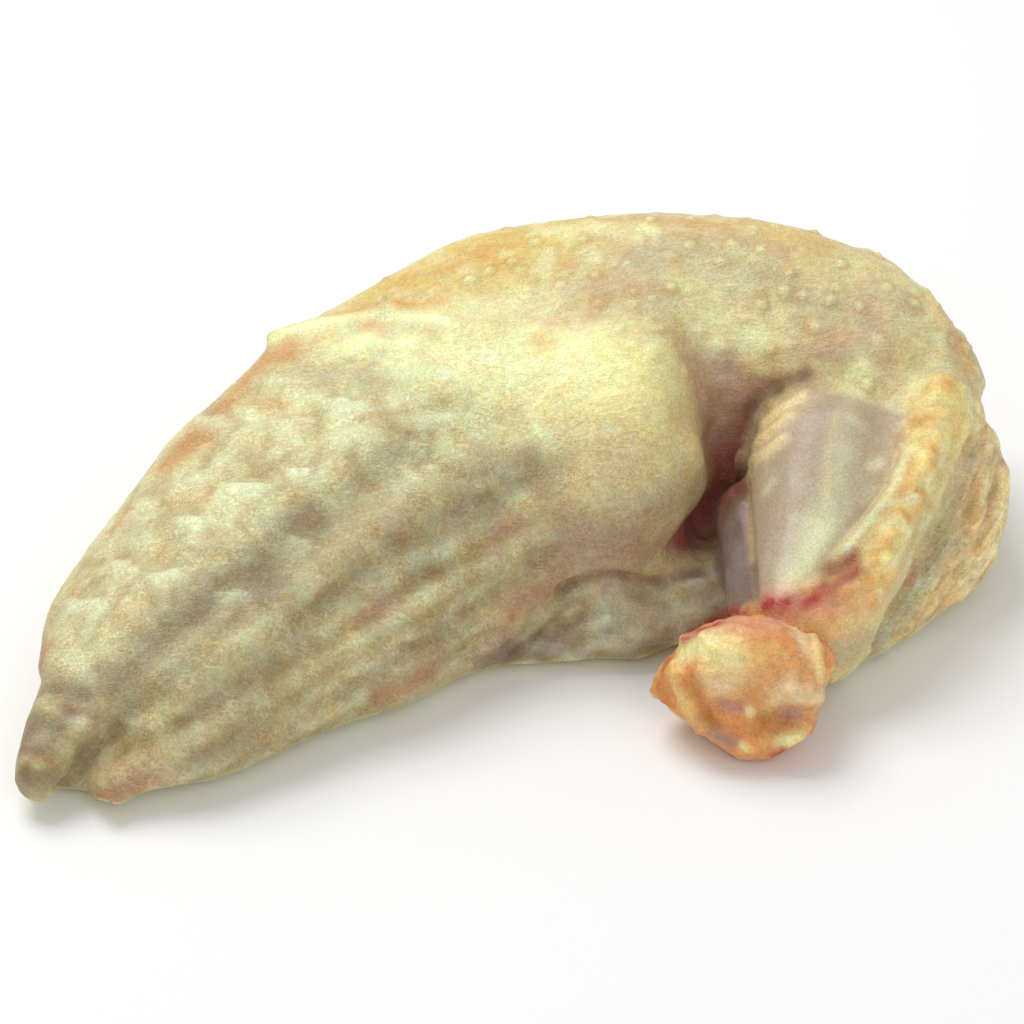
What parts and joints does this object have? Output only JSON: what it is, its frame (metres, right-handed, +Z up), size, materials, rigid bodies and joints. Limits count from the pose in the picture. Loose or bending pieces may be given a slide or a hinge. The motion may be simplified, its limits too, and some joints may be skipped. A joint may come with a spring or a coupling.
{
  "type": "capon breast",
  "caption": "Raw skin-on capon breast lying on its cut side, a long pale tapering fillet with a domed yellow back and the wing's first joint folded forward to a bare bone end.",
  "frame": {"origin": "middle of the footprint, on the surface that the breast lies on", "axes": "+X from the thin end to the shoulder, -Y to the side where the wing's bone end lies, +Z up"},
  "size_m": [0.1854, 0.1372, 0.0601],
  "materials": {
    "flesh_and_skin": "moist satin",
    "bone_end": "moist satin"
  },
  "bodies": {
    "root": {"breast": "flesh_and_skin", "wing_bone": "bone_end"}
  },
  "joints": []
}
